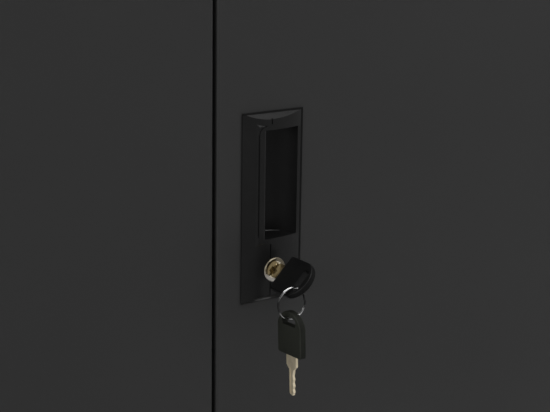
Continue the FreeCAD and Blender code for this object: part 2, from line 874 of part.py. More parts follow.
def bushes(name):
    """Two flanged bushes in the right door's folds."""
    at = ("pivot_x", "pivot_y")
    ends = {
        "upper": (("door_top - bush_length", "door_top"), ("door_top", "rail_bottom - seat_gap")),
        "lower": (("door_bottom", "door_bottom + bush_length"), ("deck_top + seat_gap", "door_bottom")),
    }
    result = []
    for end, (sleeve, flange) in ends.items():
        tube = post(f"{name}_{end}_sleeve", "z", at, "bush_radius", sleeve)
        collar = post(f"{name}_{end}_collar", "z", at, "bush_flange_radius", flange)
        bore = post(f"{name}_{end}_bore", "z", at, "pin_radius + running_clearance",
                    ("deck_top", "door_bottom + 2 * bush_length") if end == "lower"
                    else ("door_top - 2 * bush_length", "rail_bottom"))
        result.append(cut(f"{name}_{end}", join(f"{name}_{end}_body", [tube, collar]), [bore]))
    return group(name, result)


right_bushes = finished(bushes("right_door_bushes"))
finished(mirrored("left_door_bushes", right_bushes))


def pull_plate():
    """Arched plate with sloped ends, a scooped finger recess with its cup, and the lock seat."""
    body = document.addObject("PartDesign::Body", "pull_plate")
    half = "plate_width / 2"
    rise = "(ridge_height - plate_edge)"
    left_run = f"({half} - ridge_offset)"
    right_run = f"({half} + ridge_offset)"
    section = drawing(body, "plate_section", "XY_Plane")
    foot = f"({half} - shadow_depth)"
    corners = [
        (f"0 - {foot}", "0"),
        (f"0 - {foot}", "0 - shadow_gap"),
        (f"0 - {half}", "0 - shadow_gap"),
        (f"0 - {half}", "0 - plate_edge"),
        ("0 - ridge_offset", "0 - ridge_height"),
        (half, "0 - plate_edge"),
        (half, "0 - shadow_gap"),
        (foot, "0 - shadow_gap"),
        (foot, "0"),
    ]
    bulges = {
        3: f"({left_run} ^ 2 + {rise} ^ 2) / (2 * {rise})",
        4: f"({right_run} ^ 2 + {rise} ^ 2) / (2 * {rise})",
    }
    outline(section, corners, bulges)
    extrude(body, "Pad", "plate_arch", section, "plate_height", symmetric=True)
    # sloped ends, and the shadow gap under them
    ends = drawing(body, "plate_ends", "YZ_Plane")
    for sign, hip in (("", "top_hip"), ("0 - ", "bottom_hip")):
        edge = "plate_height / 2"
        outline(ends, [
            ("0 - plate_edge", f"{sign}({edge})"),
            (f"0 - plate_edge - 2 * {rise}", f"{sign}({edge} - 2 * {hip})"),
            (f"0 - plate_edge - 2 * {rise}", f"{sign}({edge} + {hip})"),
            ("0 - plate_edge", f"{sign}({edge} + {hip})"),
        ])
        outline(ends, [
            ("0", f"{sign}({edge} - shadow_depth)"),
            ("0 - shadow_gap", f"{sign}({edge} - shadow_depth)"),
            ("0 - shadow_gap", f"{sign}({edge} + shadow_depth)"),
            ("0", f"{sign}({edge} + shadow_depth)"),
        ])
    extrude(body, "Pocket", "plate_hips", ends, "plate_width * 2", symmetric=True)
    # bead with sloped, mitred sides round the grip side of the recess, sinking into the ridge
    bead_high = "(recess_top + bead_lift)"
    bead_low = "(0 - recess_bottom - bead_fall)"
    bead = drawing(body, "bead_plan", "XZ_Plane", "bead_top - bead_foot")
    outline(bead, [
        ("0 - bead_offset - bead_run", f"{bead_low} - bead_run"),
        ("0 - ridge_offset - bead_end_gap + bead_run", f"{bead_low} - bead_run"),
        ("0 - ridge_offset - bead_end_gap + bead_run", f"{bead_high} + bead_run"),
        ("0 - bead_offset - bead_run", f"{bead_high} + bead_run"),
    ])
    block = extrude(body, "Pad", "bead", bead, "bead_foot")
    block.setExpression("TaperAngle", bound("0 deg - atan(bead_run / bead_foot)"))
    # cup behind the door skin
    cup = drawing(body, "cup_plan", "XZ_Plane")
    outline(cup, [
        ("0 - recess_left - cup_wall", "0 - recess_bottom - cup_wall"),
        ("recess_right + cup_wall", "0 - recess_bottom - cup_wall"),
        ("recess_right + cup_wall", "recess_top + cup_wall"),
        ("0 - recess_left - cup_wall", "recess_top + cup_wall"),
    ])
    extrude(body, "Pad", "cup", cup, "recess_depth + cup_wall", backwards=True)
    # scoop with a rounded rim on its grip side and a swept far side, drawn across and cut up and down
    sweep_run = "(recess_right - recess_floor_end)"
    sweep_rise = "(recess_depth + ridge_height / 2)"
    scoop = drawing(body, "scoop_section", "XY_Plane", "0 - recess_bottom")
    outline(scoop, [
        ("0 - recess_left - recess_rim_radius", "0 - 2 * ridge_height"),
        ("0 - recess_left - recess_rim_radius", "0 - bead_top"),
        ("0 - recess_left", "0 - bead_top + recess_rim_radius"),
        ("0 - recess_left", "recess_depth"),
        ("recess_floor_end", "recess_depth"),
        ("recess_right", "0 - ridge_height / 2"),
        ("recess_right", "0 - 2 * ridge_height"),
    ], {1: "recess_rim_radius", 4: f"({sweep_run} ^ 2 + {sweep_rise} ^ 2) / (2 * {sweep_rise})"}, hollow=4)
    extrude(body, "Pocket", "scoop", scoop, "recess_top + recess_bottom", backwards=True)
    # hollow round along the foot of the scoop, running out in its swept side
    foot_strip = drawing(body, "scoop_foot_section", "YZ_Plane", "0 - recess_left")
    outline(foot_strip, [
        ("recess_depth", "0 - recess_bottom"),
        ("recess_depth - recess_foot_round", "0 - recess_bottom"),
        ("recess_depth", "0 - recess_bottom + recess_foot_round"),
    ], {1: "recess_foot_round"})
    extrude(body, "Pad", "scoop_foot", foot_strip, f"recess_left + recess_floor_end + {sweep_run} / 2")
    # crease along the ridge, stopping short of the recess at both ends
    crease = drawing(body, "crease_plan", "XZ_Plane", "ridge_height - crease_depth")
    for near, far in (("recess_top + crease_stop", "plate_height"),
                      ("0 - plate_height", "0 - recess_bottom - crease_stop")):
        outline(crease, [
            ("0 - ridge_offset - crease_width / 2", near),
            ("0 - ridge_offset + crease_width / 2", near),
            ("0 - ridge_offset + crease_width / 2", far),
            ("0 - ridge_offset - crease_width / 2", far),
        ])
    extrude(body, "Pocket", "crease", crease, "ridge_height", backwards=True)
    # fine groove along the bead's crest, from the top corner down
    turn = "(0 - bead_offset + bead_corner)"
    groove_centre = "bead_top - groove_depth + groove_radius"
    groove_path = drawing(body, "groove_path", "XZ_Plane", groove_centre)
    outline(groove_path, [
        (turn, bead_high),
        ("0 - bead_offset", f"{bead_high} - bead_corner"),
        ("0 - bead_offset", f"{bead_low} + bead_corner"),
    ], {0: "bead_corner"}, closed=False)
    groove = drawing(body, "groove_section", "YZ_Plane", turn)
    circle(groove, f"0 - ({groove_centre})", bead_high, "groove_radius")
    follow(body, "SubtractivePipe", "groove", groove, groove_path)
    # lock seat and screw holes
    seat = drawing(body, "lock_seat_plan", "XZ_Plane", "lock_face_height - lock_face_thickness")
    circle(seat, "0", "0 - lock_drop", "lock_face_radius + lock_play")
    extrude(body, "Pocket", "lock_seat", seat, "ridge_height", backwards=True)
    bore = drawing(body, "lock_bore_plan", "XZ_Plane")
    circle(bore, "0", "0 - lock_drop", "lock_body_radius + lock_play")
    extrude(body, "Pocket", "lock_bore", bore, "ridge_height", backwards=True)
    pilots = drawing(body, "pilot_plan", "XZ_Plane")
    circle(pilots, "0 - plate_screw_side", "plate_screw_rise", "plate_screw_radius")
    circle(pilots, "plate_screw_side", "0 - plate_screw_drop", "plate_screw_radius")
    extrude(body, "Pocket", "pilots", pilots, "plate_screw_reach", backwards=True)
    return placed(body, "plate_x", "front", "plate_centre_height")


finished(pull_plate())


def plate_screws():
    """Two screws from inside the door into the pull plate."""
    screws = []
    for at in plate_screw_places:
        head = post("plate_screw_head", "y", at, "plate_screw_head_radius",
                    ("front + sheet", "front + sheet + plate_screw_head"))
        shank = post("plate_screw_shank", "y", at, "plate_screw_radius",
                     ("front - plate_screw_reach", "front + sheet"))
        screws.append(join("plate_screw", [head, shank]))
    return group("pull_plate_screws", screws)


finished(plate_screws())


def lock_housing():
    """Lock barrel with a round face."""
    at = ("plate_x", "lock_z")
    face = post("lock_face_disc", "y", at, "lock_face_radius", ("lock_face", "lock_face + lock_face_thickness"))
    face_edge = document.addObject("Part::Chamfer", "lock_face_bevelled")
    face_edge.Base = face
    document.recompute()
    front = reading("lock_face")
    bevel = reading("lock_face_bevel")
    numbered = enumerate(face.Shape.Edges, start=1)
    face_edge.Edges = [(number, bevel, bevel) for number, edge in numbered if lies_at(edge, "y", front)]
    barrel = post("lock_barrel", "y", at, "lock_body_radius", ("lock_face", "front + lock_body_reach"))
    bore = post("lock_barrel_bore", "y", at, "plug_radius + running_clearance",
                ("lock_face - sheet", "front + lock_body_reach + sheet"))
    return cut("lock_housing", join("lock_housing_body", [face_edge, barrel]), [bore])


finished(lock_housing())


def lock_nut():
    """Six-sided nut that clamps the lock to the door skin."""
    nut = document.addObject("Part::Prism", "nut_blank")
    nut.Polygon = 6
    nut.setExpression("Circumradius", bound("nut_radius"))
    nut.setExpression("Height", bound("nut_thickness"))
    placed(nut, "plate_x", "front + sheet", "lock_z", turns["y"])
    bore = post("nut_bore", "y", ("plate_x", "lock_z"), "lock_body_radius + running_clearance",
                ("front", "front + 2 * nut_thickness"))
    return cut("lock_nut", nut, [bore])


finished(lock_nut())

eighth_turn = FreeCAD.Rotation(FreeCAD.Vector(0, 1, 0), 45)


def lock_plug():
    """Turning plug drawn about its own axis with an upright keyway and its wide mouth, then turned an eighth."""
    start = "0 - lock_face_height + plug_recess"
    finish = "lock_body_reach + plug_stand"
    core = post("plug_core", "y", ("0", "0"), "plug_radius", (start, finish))
    half_tail = "plug_tail / 2"
    tail = block("plug_square", both_ways(half_tail), (finish, f"{finish} + cam_thickness - lock_play"),
                 both_ways(half_tail))
    half_key = "key_thickness / 2"
    face = "0 - lock_face_height"
    seat = f"{face} + key_sink"
    keyway = block("keyway", both_ways(f"{half_key} + keyway_play"), (face, f"{seat} + key_blade + keyway_end_play"),
                   both_ways("key_blade_width / 2 + keyway_play"))
    mouth = block("key_mouth", (f"0 - {half_key} - mouth_side", f"{half_key} + keyway_play"),
                  (face, f"{seat} + keyway_end_play"), both_ways("mouth_width / 2"))
    well = block("key_well", (f"0 - {half_key} - well_side", "0"), (face, f"{face} + well_depth"),
                 ("0 - well_low", "well_high"))
    thread = post("plug_thread", "y", ("0", "0"), "cam_screw_radius + running_clearance",
                  (f"{finish} + cam_thickness - cam_screw_reach - lock_play", f"{finish} + cam_thickness"))
    plug = cut("lock_plug", join("plug_body", [core, tail]), [keyway, mouth, well, thread])
    return placed(plug, "plate_x", "front", "lock_z", eighth_turn)


finished(lock_plug())


def lock_cam():
    """Cam bar with a pin at each end, square on the plug's tail."""
    reach = "cam_radius"
    thick = ("cam_gap / 2", "cam_thickness")
    bar = block("cam_bar", both_ways(reach), thick, both_ways("cam_eye_radius"))
    hub = post("cam_hub", "y", ("0", "0"), "cam_hub_radius", thick)
    pieces = [bar, hub]
    for side in ("0 - ", ""):
        pieces.append(post("cam_eye", "y", (f"{side}cam_radius", "0"), "cam_eye_radius", thick))
        pieces.append(post("cam_pin", "y", (f"{side}cam_radius", "0"), "cam_pin_radius",
                           ("cam_thickness", "cam_thickness + rod_gap + rod_thickness + cam_pin_proud")))
    half_hole = "plug_tail / 2 + running_clearance"
    hole = block("cam_square", both_ways(half_hole), ("0 - cam_thickness", "2 * cam_thickness"), both_ways(half_hole))
    square = group("cam_square_turned", [hole])
    square.Placement = FreeCAD.Placement(FreeCAD.Vector(), eighth_turn)
    return placed(cut("lock_cam", join("cam_body", pieces), [square]), "plate_x", "cam_front", "lock_z")


finished(lock_cam())


def cam_screw():
    """Screw that holds the cam on the plug."""
    at = ("plate_x", "lock_z")
    head = post("cam_screw_head_disc", "y", at, "cam_screw_head_radius", ("cam_back", "cam_back + cam_screw_head"))
    shank = post("cam_screw_shank", "y", at, "cam_screw_radius", ("cam_back - cam_screw_reach", "cam_back"))
    return join("cam_screw", [head, shank])


finished(cam_screw())


def rod_span(upward):
    """Where a lock rod lies across the door: the upper one right of the lock, the lower one left of it."""
    if upward:
        return ("plate_x + rod_inner", "plate_x + rod_outer")
    return ("plate_x - rod_outer", "plate_x - rod_inner")


def lock_rod(name, upward):
    """Flat rod with a cross slot that the cam pin drives."""
    z = ("lock_z - rod_tail", "rod_top") if upward else ("rod_bottom", "lock_z + rod_tail")
    strip = block(name + "_strip", rod_span(upward), ("rod_front", "rod_back"), z)
    play = "(cam_pin_radius + rod_slot_play)"
    inside = f"cam_radius * sqrt(0.5) - {play}"
    outside = f"cam_radius + {play}"
    x = (f"plate_x + {inside}", f"plate_x + {outside}") if upward else (
        f"plate_x - ({outside})", f"plate_x - ({inside})")
    slot = block(name + "_slot", x, ("rod_front - rod_gap", "rod_back + rod_gap"),
                 (f"lock_z - {play}", f"lock_z + {play}"))
    return cut(name, strip, [slot])


finished(lock_rod("upper_lock_rod", True))
finished(lock_rod("lower_lock_rod", False))


def rod_guide(name, x_rod, x_base, z):
    """Guide block on a base plate that lies on the door's inner face."""
    y_base = ("door_back", "rod_front - guide_play")
    base = block(name + "_base", x_base, y_base, z)
    loop = block(name + "_loop", (f"{x_rod[0]} - guide_play - guide_wall", f"{x_rod[1]} + guide_play + guide_wall"),
                 ("door_back", "rod_back + guide_play + guide_wall"), z)
    hole = block(name + "_hole", (f"{x_rod[0]} - guide_play", f"{x_rod[1]} + guide_play"),
                 ("rod_front - guide_play", "rod_back + guide_play"), (f"{z[0]} - sheet", f"{z[1]} + sheet"))
    return cut(name, join(name + "_body", [base, loop]), [hole])


def end_span(upward, length):
    """Heights of a fitting on the top or bottom lip of a door."""
    if upward:
        return (f"door_top - guide_end_gap - {length}", "door_top - guide_end_gap")
    return ("door_bottom + guide_end_gap", f"door_bottom + guide_end_gap + {length}")


def rod_guides(name, upward):
    """Two guides for one rod: on the end lip of the door and on its stiffener."""
    x_rod = rod_span(upward)
    lip = end_span(upward, "guide_height")
    x_lip = (f"{x_rod[0]} - guide_foot", f"{x_rod[1]} + guide_foot")
    station = "lock_z + guide_station" if upward else "lock_z - guide_station"
    middle = (f"{station} - guide_height / 2", f"{station} + guide_height / 2")
    x_arm = (x_rod[0], "stiffener_offset + stiffener_width - stiffener_foot")
    return group(name, [
        rod_guide(name + "_end", x_rod, x_lip, lip),
        rod_guide(name + "_mid", x_rod, x_arm, middle),
    ])


finished(rod_guides("upper_rod_guides", True))
finished(rod_guides("lower_rod_guides", False))


def slide_bolt(name, upward):
    """Slide bolt on the left door with a finger knob."""
    x = ("0 - bolt_offset - rod_width / 2", "0 - bolt_offset + rod_width / 2")
    aside = "(bolt_travel + bolt_knob_gap + bolt_knob_radius)"
    low, high = end_span(upward, "bolt_housing_length")
    knob_z = f"{low} - {aside}" if upward else f"{high} + {aside}"
    z = (f"{knob_z} - 2 * bolt_knob_radius", "rod_top") if upward else (
        "rod_bottom", f"{knob_z} + 2 * bolt_knob_radius")
    bar = block(name + "_bar", x, ("rod_front", "rod_back"), z)
    knob = post(name + "_knob", "y", ("0 - bolt_offset", knob_z), "bolt_knob_radius",
                ("rod_back", "rod_back + bolt_knob_height"))
    return join(name, [bar, knob])


def bolt_housing(name, upward):
    """Housing that carries a slide bolt, fixed to the end lip of the left door."""
    x_rod = ("0 - bolt_offset - rod_width / 2", "0 - bolt_offset + rod_width / 2")
    x_lip = (f"{x_rod[0]} - bolt_foot", f"{x_rod[1]} + bolt_foot")
    return rod_guide(name, x_rod, x_lip, end_span(upward, "bolt_housing_length"))


for end, upward in (("upper", True), ("lower", False)):
    finished(bolt_housing(f"{end}_bolt_housing", upward))
    finished(slide_bolt(f"{end}_slide_bolt", upward))


def key_bow(name):
    """Plastic bow with an arched end and a wide slot, drawn in its own x and z with the blade end at z = 0."""
    body = document.addObject("PartDesign::Body", name)
    half = "bow_width / 2"
    side = "bow_length - bow_arch"
    plan = drawing(body, name + "_plan", "XZ_Plane")
    outline(plan, [
        (f"0 - {half}", "0"),
        (half, "0"),
        (half, side),
        (f"0 - {half}", side),
    ], {2: f"(({half}) ^ 2 + bow_arch ^ 2) / (2 * bow_arch)"})
    head = extrude(body, "Pad", name + "_head", plan, "bow_thickness", symmetric=True)
    document.recompute()
    faces = reading("bow_thickness / 2")

    def corner(edge):
        return edge.BoundBox.YLength > faces

    def rim(edge):
        return any(lies_at(edge, "y", place) for place in (faces, -faces))

    turned = soften(body, name + "_corners", head, corner, "bow_corner")
    soften(body, name + "_softened", turned, rim, "bow_edge_radius")
    slot = drawing(body, name + "_slot_plan", "XZ_Plane")
    straight = "(bow_slot_width / 2 - bow_slot_round)"
    bulge = "((bow_slot_height / 2) ^ 2 + bow_slot_round ^ 2) / (2 * bow_slot_round)"
    low = "slot_centre - bow_slot_height / 2"
    high = "slot_centre + bow_slot_height / 2"
    outline(slot, [
        (f"0 - {straight}", low),
        (straight, low),
        (straight, high),
        (f"0 - {straight}", high),
    ], {1: bulge, 3: bulge})
    extrude(body, "Pocket", name + "_slot", slot, "bow_thickness * 2", symmetric=True)
    socket = drawing(body, name + "_socket_plan", "XY_Plane")
    outline(socket, [
        ("0 - key_neck_width / 2", "0 - key_thickness / 2"),
        ("key_neck_width / 2", "0 - key_thickness / 2"),
        ("key_neck_width / 2", "key_thickness / 2"),
        ("0 - key_neck_width / 2", "key_thickness / 2"),
    ])
    extrude(body, "Pocket", name + "_socket", socket, "bow_socket", backwards=True)
    return body


def key_blade(name):
    """Metal blade with a broad neck, sloping shoulders, a notched edge and a groove, in the same frame as its bow."""
    body = document.addObject("PartDesign::Body", name)
    neck = "key_neck_width / 2"
    edge = "key_blade_width / 2"
    shoulder = "0 - key_neck"
    blade_top = "0 - key_neck - key_shoulder"
    tip = "0 - key_neck - key_shoulder - key_blade"
    step = "key_blade / 8"
    corners = [
        (neck, "bow_socket"),
        (neck, shoulder),
        (edge, blade_top),
        (edge, f"{tip} + key_tip_bevel"),
        (f"{edge} - key_tip_bevel", tip),
        (f"key_tip_bevel - {edge}", tip),
    ]
    for notch in range(1, 7):
        inset = "key_notch" if notch % 2 == 0 else "key_tooth_inset"
        corners.append((f"{inset} - {edge}", f"{tip} + {notch} * {step}"))
    corners += [
        (f"0 - {edge}", blade_top),
        (f"0 - {neck}", shoulder),
        (f"0 - {neck}", "bow_socket"),
    ]
    plan = drawing(body, name + "_plan", "XZ_Plane")
    outline(plan, corners)
    extrude(body, "Pad", name + "_strip", plan, "key_thickness", symmetric=True)
    left = "key_groove_shift - key_groove / 2"
    right = "key_groove_shift + key_groove / 2"
    for face, height, backwards in (("front", "key_thickness / 2", False), ("rear", "0 - key_thickness / 2", True)):
        groove = drawing(body, f"{name}_{face}_groove_plan", "XZ_Plane", height)
        outline(groove, [
            (left, f"{tip} - key_groove"),
            (right, f"{tip} - key_groove"),
            (right, f"{blade_top} + key_shoulder / 2"),
            (left, f"{blade_top} + key_shoulder / 2"),
        ])
        extrude(body, "Pocket", f"{name}_{face}_groove", groove, "key_groove_depth", backwards=backwards)
    return body


# The key in the lock points out of the door with its width along the eighth turn.
outward = FreeCAD.Rotation(FreeCAD.Vector(1, 0, 0), 90)
upright_width_turn = FreeCAD.Rotation(FreeCAD.Vector(0, 1, 0), -90)
in_lock = eighth_turn.multiply(upright_width_turn).multiply(outward)
leaning = FreeCAD.Rotation(FreeCAD.Vector(1, 0, 0), 0 - reading("spare_key_lean"))
hanging = leaning.multiply(FreeCAD.Rotation(FreeCAD.Vector(0, 0, 1), 90))
for prefix, spot, turn in (
    ("key", ("plate_x", "lock_face - bow_start", "lock_z"), in_lock),
    ("spare_key", ("bridge_x", "spare_bow_y", "spare_bow_z"), hanging),
):
    finished(placed(key_bow(prefix + "_bow"), *spot, turn))
    finished(placed(key_blade(prefix + "_blade"), *spot, turn))


def key_ring():
    """Ring that hangs from the side bridge of the bow in the lock."""
    ring = document.addObject("Part::Torus", "key_ring")
    ring.setExpression("Radius1", bound("ring_radius"))
    ring.setExpression("Radius2", bound("wire_radius"))
    return placed(ring, "bridge_x", "ring_plane", "ring_z", turns["y"])


finished(key_ring())

document.recompute()
os.makedirs("parts", exist_ok=True)
for item in document.Objects:
    for word in ("Invalid", "Error"):
        if word in item.State:
            raise RuntimeError(f"{item.Label} is {item.State}")
for node in nodes:
    shape = node.Shape
    if shape.isNull() or not shape.isValid():
        raise RuntimeError(f"{node.Label} has no sound shape")
    shape.exportStep(f"parts/{node.Label}.step")
    box = shape.BoundBox
    low = (round(box.XMin, 2), round(box.YMin, 2), round(box.ZMin, 2))
    high = (round(box.XMax, 2), round(box.YMax, 2), round(box.ZMax, 2))
    print(node.Label, len(shape.Solids), round(shape.Volume, 1), low, high)
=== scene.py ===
import math

import bpy
from mathutils import Matrix, Vector


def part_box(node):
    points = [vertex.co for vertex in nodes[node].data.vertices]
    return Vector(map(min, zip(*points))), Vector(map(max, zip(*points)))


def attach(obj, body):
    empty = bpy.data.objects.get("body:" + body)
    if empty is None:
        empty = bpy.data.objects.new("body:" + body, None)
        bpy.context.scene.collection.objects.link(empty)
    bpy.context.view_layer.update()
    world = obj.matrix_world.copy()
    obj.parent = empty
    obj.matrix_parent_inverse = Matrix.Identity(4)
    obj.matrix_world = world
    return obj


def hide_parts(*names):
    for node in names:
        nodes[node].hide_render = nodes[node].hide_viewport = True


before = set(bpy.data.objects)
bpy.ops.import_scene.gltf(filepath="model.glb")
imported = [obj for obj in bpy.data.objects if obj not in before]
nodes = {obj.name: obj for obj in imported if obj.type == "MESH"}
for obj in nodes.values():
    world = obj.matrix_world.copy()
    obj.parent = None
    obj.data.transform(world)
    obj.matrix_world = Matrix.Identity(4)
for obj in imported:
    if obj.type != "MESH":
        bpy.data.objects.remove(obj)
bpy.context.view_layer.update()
print("frame loaded:", len(nodes), "nodes")


class Wire:  # a node socket that does arithmetic
    def __init__(self, tree, socket):
        self.tree = tree
        self.socket = socket

    def maths(self, operation, first, second):
        step = self.tree.nodes.new("ShaderNodeMath")
        step.operation = operation
        for place, value in enumerate((first, second)):
            if isinstance(value, Wire):
                self.tree.links.new(value.socket, step.inputs[place])
            else:
                step.inputs[place].default_value = value
        return Wire(self.tree, step.outputs[0])

    def __add__(self, other):
        return self.maths("ADD", self, other)

    def __sub__(self, other):
        return self.maths("SUBTRACT", self, other)

    def __rsub__(self, other):
        return self.maths("SUBTRACT", other, self)

    def __mul__(self, other):
        return self.maths("MULTIPLY", self, other)

    def __pow__(self, other):
        return self.maths("POWER", self, other)

    def __rpow__(self, other):
        return self.maths("POWER", other, self)

    __radd__ = __add__
    __rmul__ = __mul__


class Board:  # a node tree that takes new nodes
    def __init__(self, tree):
        self.tree = tree

    def put(self, kind, settings=None, sockets=None, output=0):
        step = self.tree.nodes.new("ShaderNode" + kind)
        for name, value in (settings or {}).items():
            if name == "stops":
                self.setStops(step.color_ramp.elements, value)
            else:
                setattr(step, name, value)
        for name, value in (sockets or {}).items():
            self.fill(step.inputs[name], value)
        return Wire(self.tree, step.outputs[output])

    def setStops(self, elements, stops):
        while len(elements) < len(stops):
            elements.new(1.0)
        for element, (position, colour) in zip(elements, stops):
            element.position = position
            element.color = colour

    def fill(self, socket, value):
        if isinstance(value, Wire):
            self.tree.links.new(value.socket, socket)
        else:
            socket.default_value = value

    def seen(self):  # 1 for what the eye, metal or glass looks at
        kinds = ("Is Camera Ray", "Is Glossy Ray", "Is Transmission Ray")
        camera, glossy, through = (self.put("LightPath", output=kind) for kind in kinds)
        return camera + glossy + through

    def blend(self, factor, first, second, output):
        both = self.put("MixShader", sockets={0: factor, 1: first, 2: second})
        self.fill(self.tree.nodes[output].inputs["Surface"], both)


class Finish(Board):  # one material and the wires inside it
    def __init__(self, name):
        self.material = bpy.data.materials.new(name)
        self.material.use_nodes = True
        super().__init__(self.material.node_tree)
        self.shader = self.tree.nodes["Principled BSDF"]

    def surface(self, **values):
        for name, value in values.items():
            self.fill(self.shader.inputs[name.replace("_", " ")], value)

    def place(self):
        return self.put("TexCoord", output="Object")

    def axis(self, letter):
        return self.put("SeparateXYZ", sockets={"Vector": self.place()}, output=letter)

    def stretched(self, scale):
        return self.put("Mapping", sockets={"Vector": self.place(), "Scale": scale})

    def noise(self, scale, detail=2.0, roughness=0.5, vector=None):
        place = vector or self.place()
        sockets = {"Vector": place, "Scale": scale, "Detail": detail, "Roughness": roughness}
        return self.put("TexNoise", sockets=sockets)

    def ramp(self, factor, *stops):
        return self.put("ValToRGB", {"stops": stops}, {"Fac": factor})

    def tone(self, factor, dark, light, ends=(0.3, 0.7)):
        return self.ramp(factor, (ends[0], dark), (ends[1], light))

    def band(self, value, start, width):  # 0 before start, 1 past start + width
        return self.span(value, (start, start + width))

    def span(self, value, ends):  # climbs from 0 to 1 between the ends
        return self.put("MapRange", sockets={"Value": value, "From Min": ends[0], "From Max": ends[1]})

    def patch(self, across, upward, area, edge):  # 1 inside an upright rectangle
        inside = 1
        for value, (start, end) in ((across, area["across"]), (upward, area["upward"])):
            inside = self.band(value, start, edge) * (1 - self.band(value, end, edge)) * inside
        return inside

    def bump(self, height, strength, distance):
        return self.put("Bump", sockets={"Height": height, "Strength": strength, "Distance": distance})


def grey(value, warm=0.0, green=0.0):
    return (value * (1 + warm), value * (1 + green), value * (1 - warm), 1)


def mixed(first, second, share):
    return first * share + second * (1 - share)


def middle(box, axis):
    return (box[0][axis] + box[1][axis]) / 2


def reach(box, axis):
    return (box[1][axis] - box[0][axis]) / 2


powder = {
    "dark": 0.0185, "light": 0.0215, "gloss": 0.19, "rough": 0.44, "poreRough": 0.12,
    "poreScale": 1300, "peelScale": 380, "driftScale": 5, "driftShare": 0.8, "poreShare": 0.6,
    "bump": 0.35, "depth": 0.00012,
}


def powderCoat(name):
    finish = Finish(name)
    pores = finish.noise(powder["poreScale"])
    peel = finish.noise(powder["peelScale"])
    drift = finish.noise(powder["driftScale"], detail=3)
    patches = mixed(drift, pores, powder["driftShare"])
    tone = finish.tone(patches, grey(powder["dark"]), grey(powder["light"]))
    relief = finish.bump(mixed(pores, peel, powder["poreShare"]), powder["bump"], powder["depth"])
    rough = powder["rough"] + pores * powder["poreRough"]
    finish.surface(Base_Color=tone, Roughness=rough, Normal=relief, Specular_IOR_Level=powder["gloss"])
    return finish.material


mould = {
    "black": 0.001, "dark": 0.0055, "light": 0.0072, "worn": 0.2, "stops": (0.05, 0.35, 0.7, 1.0),
    "gloss": 0.11, "rubScale": 60, "rubDull": 0.1, "grainScale": 2100, "grainDull": 0.06,
    "bump": 0.3, "depth": 0.00008,
}


def mouldedPlastic(name, rough, lift=1.0, gloss=mould["gloss"], warm=0.0, green=0.0, skin=None):
    finish = Finish(name)
    grain = finish.noise(mould["grainScale"])
    wearAndPaintedLight = finish.noise(mould["rubScale"], detail=4, roughness=0.6)
    dull = wearAndPaintedLight * mould["rubDull"] + grain * mould["grainDull"]
    # the painted light function adds painted shade and painted highlights to the wear
    if skin:
        wearAndPaintedLight, dull = skin(finish, wearAndPaintedLight, dull)
    dark = grey(mould["dark"] * lift, warm, green)
    light = grey(mould["light"] * lift, warm, green)
    # painted shade pulls towards the black end; wear and painted highlights pull towards the top end
    colours = (grey(mould["black"]), dark, light, grey(mould["worn"]))
    tone = finish.ramp(wearAndPaintedLight, *zip(mould["stops"], colours))
    relief = finish.bump(grain, mould["bump"], mould["depth"])
    finish.surface(Base_Color=tone, Roughness=rough + dull, Normal=relief, Specular_IOR_Level=gloss)
    return finish.material


plate = {  # metres: pairs are places from the plate's middle, widths, heights and starts from its edges
    "lipWidth": 0.0023, "browHeight": 0.0012, "sillHeight": 0.0008, "hemHeight": 0.0024, "hemStart": 0.0035,
    "edge": 0.0002, "areaEdge": 0.0001, "hemEdge": 0.0004, "hemStartEdge": 0.001,
    "hemLean": (-0.012, -0.006), "footFade": (0.004, 0.013),
    "recess": {"across": (-0.0079, 0.0202), "upward": (-0.0221, 0.0565)},
    "groove": {"across": (-0.0147, -0.0138), "upward": (-0.02, 0.0535)},
    "facet": {"across": (0.0203, 0.023), "upward": (-0.0221, 0.0565)},
    "foot": {"across": (-0.0079, 0.013), "upward": (-0.02197, -0.0214)},
    # painted shade darkens the recess, groove and far facet; painted highlight lightens the hem and recess
    # foot
    "darken": {"recess": 0.6, "groove": 0.9, "facet": 0.75},  # from here on shares, not metres
    "lighten": {"hem": 0.19, "hemLean": 0.09, "foot": 0.9, "footFade": -0.35},
    "dull": {"lip": 0.5, "recess": 0.15},
}


